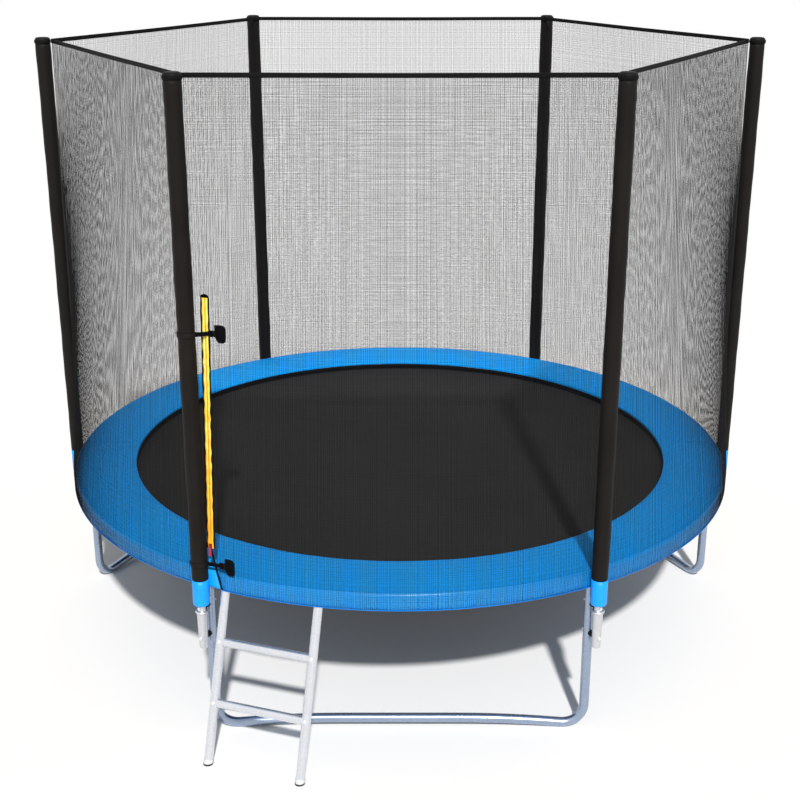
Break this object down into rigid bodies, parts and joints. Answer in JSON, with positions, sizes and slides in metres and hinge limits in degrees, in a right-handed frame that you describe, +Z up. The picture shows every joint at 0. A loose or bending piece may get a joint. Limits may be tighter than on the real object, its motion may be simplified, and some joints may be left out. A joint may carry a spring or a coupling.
{
  "type": "trampoline",
  "caption": "Round garden trampoline with a padded rim, a hexagonal safety net on padded poles, looped tube legs, a zipped door and a leaning ladder.",
  "frame": {"origin": "on the ground, under the middle of the jumping ring", "axes": "+Z up; -Y towards the front leg and the ladder's side; +X to the right seen from the front"},
  "size_m": [2.616, 2.6677, 2.162],
  "materials": {
    "galvanised": "galvanised tube, dull",
    "pole_steel": "galvanised tube, dull",
    "sleeve": "black coated cloth over foam",
    "sleeve_end": "bright blue PVC",
    "black_plastic": "moulded black",
    "zinc": "zinc plated",
    "spring_steel": "galvanised wire",
    "mat": "dark woven polypropylene",
    "webbing": "black webbing",
    "pad": "blue PVC-coated cloth",
    "pad_foam": "white polyethylene foam",
    "net": "black knitted net",
    "zip": "orange and yellow tape",
    "slider": "pale metal",
    "pull": "red moulded",
    "ladder_steel": "pale grey tube",
    "rubber": "black rubber"
  },
  "bodies": {
    "frame": {"frame_rail_1": "galvanised", "frame_rail_2": "galvanised", "frame_rail_3": "galvanised", "frame_rail_4": "galvanised", "frame_rail_5": "galvanised", "frame_rail_6": "galvanised", "leg_extension_1": "galvanised", "leg_extension_2": "galvanised", "leg_extension_3": "galvanised", "leg_extension_4": "galvanised", "leg_extension_5": "galvanised", "leg_extension_6": "galvanised", "leg_base_front": "galvanised", "leg_base_right": "galvanised", "leg_base_left": "galvanised", "lower_poles": "pole_steel", "upper_pole_1": "pole_steel", "upper_pole_2": "pole_steel", "upper_pole_3": "pole_steel", "upper_pole_4": "pole_steel", "upper_pole_5": "pole_steel", "upper_pole_6": "pole_steel", "foam_sleeve_1": "sleeve", "foam_sleeve_2": "sleeve", "foam_sleeve_3": "sleeve", "foam_sleeve_4": "sleeve", "foam_sleeve_5": "sleeve", "foam_sleeve_6": "sleeve", "sleeve_ends": "sleeve_end", "pole_caps": "black_plastic", "pole_spacers": "black_plastic", "bolts": "zinc", "nuts": "zinc", "springs": "spring_steel", "pad_cover": "pad", "pad_foam": "pad_foam", "pad_ties": "webbing", "net_1": "net", "net_2": "net", "net_3": "net", "net_4": "net", "net_5": "net", "net_door": "net", "net_band": "webbing", "net_loops": "webbing", "net_hem": "webbing", "zip_tape": "zip", "door_straps": "webbing", "ladder_rail_left": "ladder_steel", "ladder_rail_right": "ladder_steel", "ladder_rungs": "ladder_steel", "ladder_feet": "rubber"},
    "mat": {"jump_mat": "mat", "mat_border": "webbing", "v_rings": "spring_steel"},
    "slider": {"zip_slider": "slider"},
    "pull": {"zip_pull": "pull"},
    "upper_clip": {"clip_upper": "black_plastic"},
    "lower_clip": {"clip_lower": "black_plastic"}
  },
  "joints": [
    {"name": "mat_bounce", "type": "slide", "parent": "frame", "child": "mat", "axis": [0, 0, 1], "range_m": [-0.25, 0], "stiffness_N_per_m": 5000, "springref_m": 0.02, "deforming": ["springs"]},
    {"name": "zip_slide", "type": "slide", "parent": "frame", "child": "slider", "axis": [0.0223, 0.0168, 0.9996], "range_m": [0, 0.8]},
    {"name": "pull_swing", "type": "hinge", "parent": "slider", "child": "pull", "pos_m": [-0.6012, -1.1152, 0.69344], "axis": [-0.9465, 0.3223, 0.0157], "range_deg": [0, 150]},
    {"name": "upper_clip_release", "type": "slide", "parent": "frame", "child": "upper_clip", "axis": [0.976, -0.2178, 0], "range_m": [0, 0.03]},
    {"name": "lower_clip_release", "type": "slide", "parent": "frame", "child": "lower_clip", "axis": [0.9005, -0.4348, 0], "range_m": [0, 0.03]}
  ]
}
